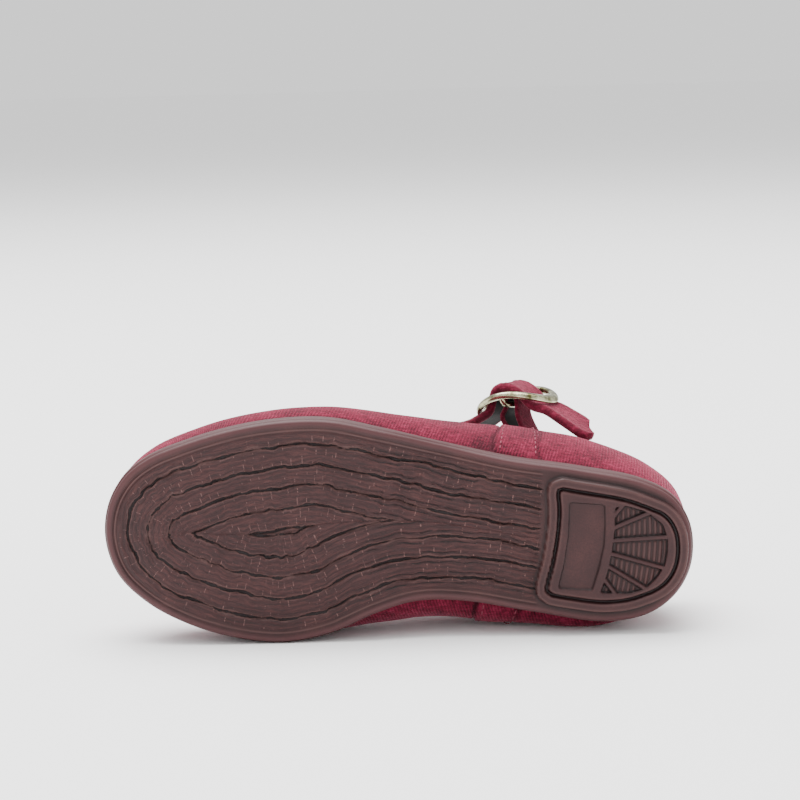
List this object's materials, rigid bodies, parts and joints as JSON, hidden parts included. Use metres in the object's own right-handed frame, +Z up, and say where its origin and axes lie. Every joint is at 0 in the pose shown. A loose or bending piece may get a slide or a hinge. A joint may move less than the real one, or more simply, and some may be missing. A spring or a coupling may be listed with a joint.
{
  "type": "child's mary jane shoe",
  "caption": "Child's left mary jane shoe lying on its inner side, with a ribbed velvet upper, an instep strap with an oval buckle and a ribbed rubber sole.",
  "frame": {"origin": "bottom centre of the bounding box as the shoe lies on the floor", "axes": "+X from toe to heel, +Y from sole to collar, +Z up from the inner side that it lies on to the outer side"},
  "size_m": [0.1736, 0.0668, 0.0702],
  "materials": {
    "sole_rubber": "moulded, slight gloss",
    "footbed": "plain smooth",
    "velvet": "fine ribbed velvet",
    "buckle_metal": "pale antique"
  },
  "bodies": {
    "root": {"outsole": "sole_rubber", "insole": "footbed", "upper": "velvet", "topline_binding": "velvet", "strap": "velvet", "buckle_tab": "velvet", "buckle_frame": "buckle_metal", "buckle_prong": "buckle_metal"}
  },
  "joints": []
}
